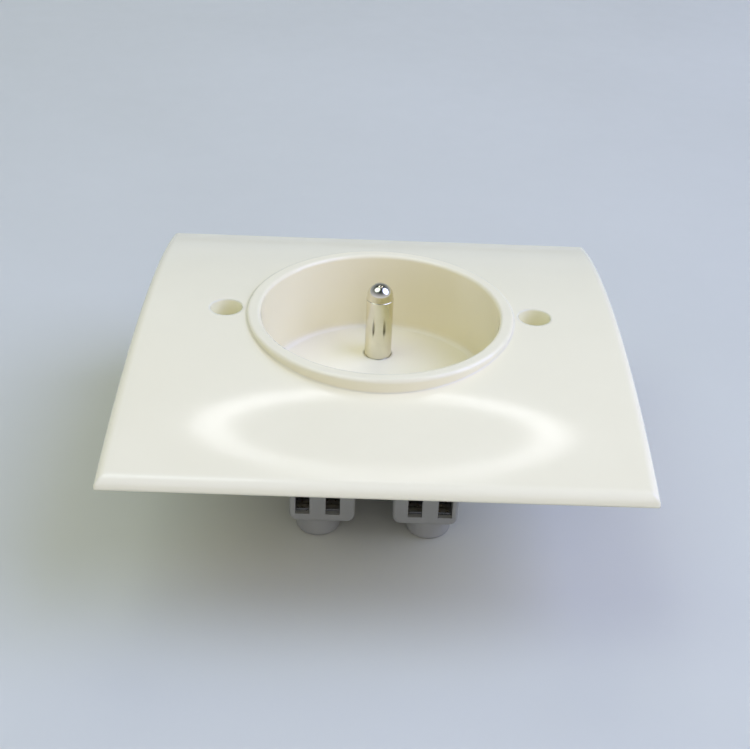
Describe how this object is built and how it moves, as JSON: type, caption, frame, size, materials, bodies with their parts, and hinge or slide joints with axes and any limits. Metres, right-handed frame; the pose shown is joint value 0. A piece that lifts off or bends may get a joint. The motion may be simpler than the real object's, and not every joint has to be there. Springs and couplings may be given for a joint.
{
  "type": "wall socket",
  "caption": "Flush wall socket: an arched square plate with a round recess, a standing earth pin and pin holes, with contacts and screw terminals in a base behind it.",
  "frame": {"origin": "centre of the plate on the wall's surface, midway between the two fixing holes", "axes": "+Z out of the wall towards the plug, +Y towards the earth pin (up on the wall), +X to the right as seen from the front"},
  "size_m": [0.082, 0.082, 0.0355],
  "materials": {
    "ivory_plastic": "glossy moulded",
    "grey_plastic": "matt moulded",
    "brass": "stamped strip",
    "nickel": "turned and nickel plated",
    "zinc_steel": "zinc plated"
  },
  "bodies": {
    "root": {"cover": "ivory_plastic", "base": "grey_plastic", "live_contact": "brass", "neutral_contact": "brass", "earth_pin": "nickel", "earth_strap": "brass", "live_clamp": "zinc_steel", "neutral_clamp": "zinc_steel", "earth_clamp": "zinc_steel", "terminal_screws": "zinc_steel", "base_screws": "zinc_steel"}
  },
  "joints": []
}
